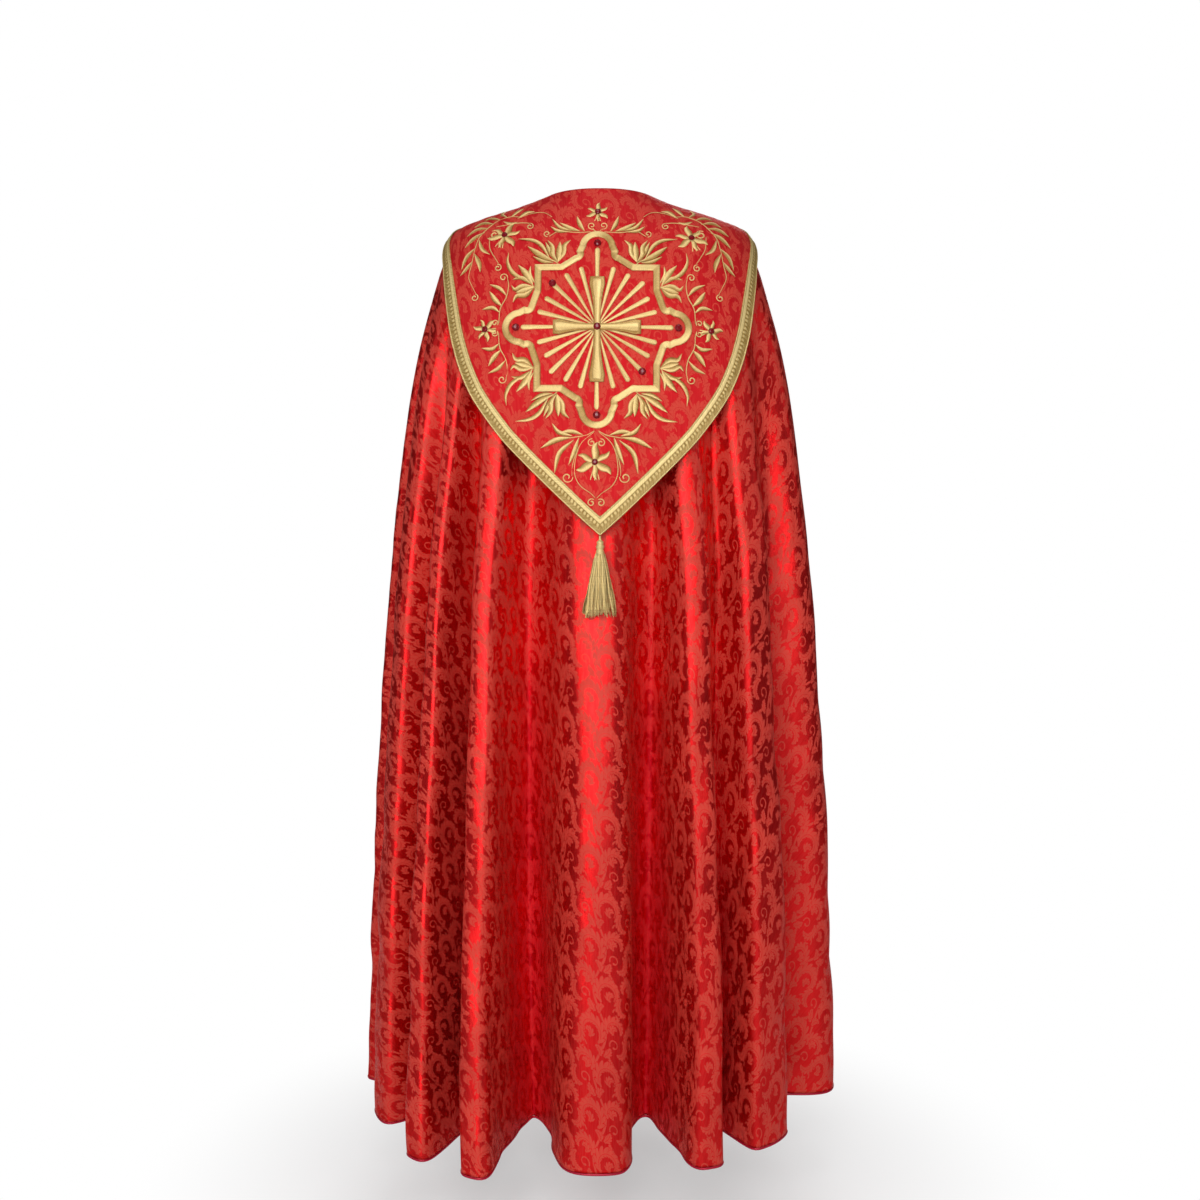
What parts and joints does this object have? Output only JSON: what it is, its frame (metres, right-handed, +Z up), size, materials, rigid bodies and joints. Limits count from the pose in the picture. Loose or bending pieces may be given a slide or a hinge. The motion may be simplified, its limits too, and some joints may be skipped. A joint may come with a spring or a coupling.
{
  "type": "cope vestment",
  "caption": "Half-circle liturgical cloak, worn open down the front and shown as it hangs, with shield hood, tassel and chest clasp.",
  "frame": {"origin": "middle of the neck hole at the height where the neck and shoulders hold the cope up", "axes": "+Z up, +Y the way the wearer looks, +X towards the wearer's right hand (to the right as seen from behind)"},
  "size_m": [0.7656, 0.6094, 1.4584],
  "materials": {
    "damask": "red satin damask with matte coral leaf scrolls",
    "piping": "crimson satin piping",
    "galloon": "gold woven braid",
    "embroidery": "gold satin stitch",
    "tassel": "gold thread",
    "stones": "faceted dark red glass",
    "clasp": "satin gilt metal"
  },
  "bodies": {
    "root": {"emblem_cross": "embroidery", "emblem_frame": "embroidery", "galloon": "galloon", "hem_piping": "piping", "hood": "damask", "lily_bottom": "embroidery", "lily_left": "embroidery", "lily_right": "embroidery", "lily_shoulder_left": "embroidery", "lily_shoulder_right": "embroidery", "lily_top": "embroidery", "morse_band": "damask", "morse_boss": "clasp", "panel_back_left": "damask", "panel_back_middle": "damask", "panel_back_right": "damask", "panel_front_left": "damask", "panel_front_right": "damask", "panel_side_left": "damask", "panel_side_right": "damask", "spray_base_left": "embroidery", "spray_base_right": "embroidery", "spray_lower_left": "embroidery", "spray_lower_right": "embroidery", "spray_outer_lower_left": "embroidery", "spray_outer_lower_right": "embroidery", "spray_outer_upper_left": "embroidery", "spray_outer_upper_right": "embroidery", "spray_shoulder_left": "embroidery", "spray_shoulder_right": "embroidery", "spray_upper_left": "embroidery", "spray_upper_right": "embroidery", "stone_bottom": "stones", "stone_left": "stones", "stone_lily_bottom": "stones", "stone_lily_left": "stones", "stone_lily_right": "stones", "stone_lily_shoulder_left": "stones", "stone_lily_shoulder_right": "stones", "stone_lily_top": "stones", "stone_lower_right": "stones", "stone_middle": "stones", "stone_right": "stones", "stone_top": "stones", "stone_upper_left": "stones", "sunburst": "embroidery", "tassel": "tassel"}
  },
  "joints": []
}
